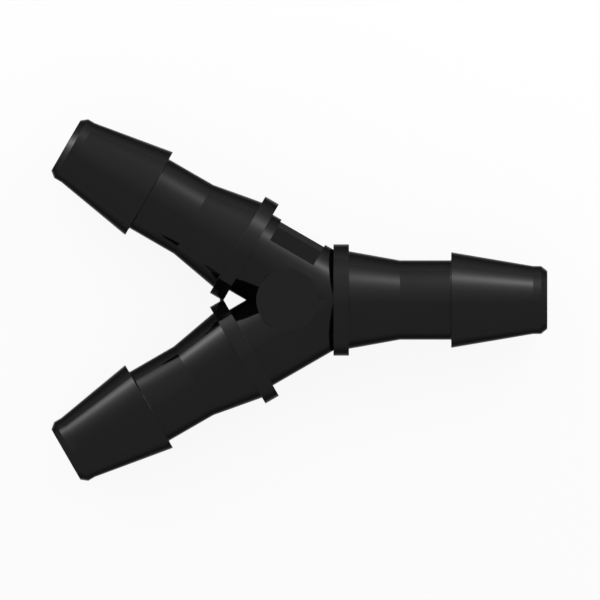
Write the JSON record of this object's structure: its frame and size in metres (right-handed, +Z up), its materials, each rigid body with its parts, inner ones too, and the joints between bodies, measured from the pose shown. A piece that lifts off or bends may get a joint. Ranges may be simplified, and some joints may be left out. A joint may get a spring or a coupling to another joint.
{
  "type": "tubing y connector",
  "caption": "Moulded black plastic Y fitting that joins soft tubing: barbed arms with stop collars, set in a Y about a round-padded hub.",
  "frame": {"origin": "middle of the fitting's outline, on the surface it lies on", "axes": "+X along the stem, away from the legs; +Y towards the leg with the gate pocket; +Z up, square to the plane of the arms"},
  "size_m": [0.0396, 0.029, 0.0089],
  "materials": {
    "black_plastic": "glossy moulded black plastic"
  },
  "bodies": {
    "root": {"y_connector_body": "black_plastic"}
  },
  "joints": []
}
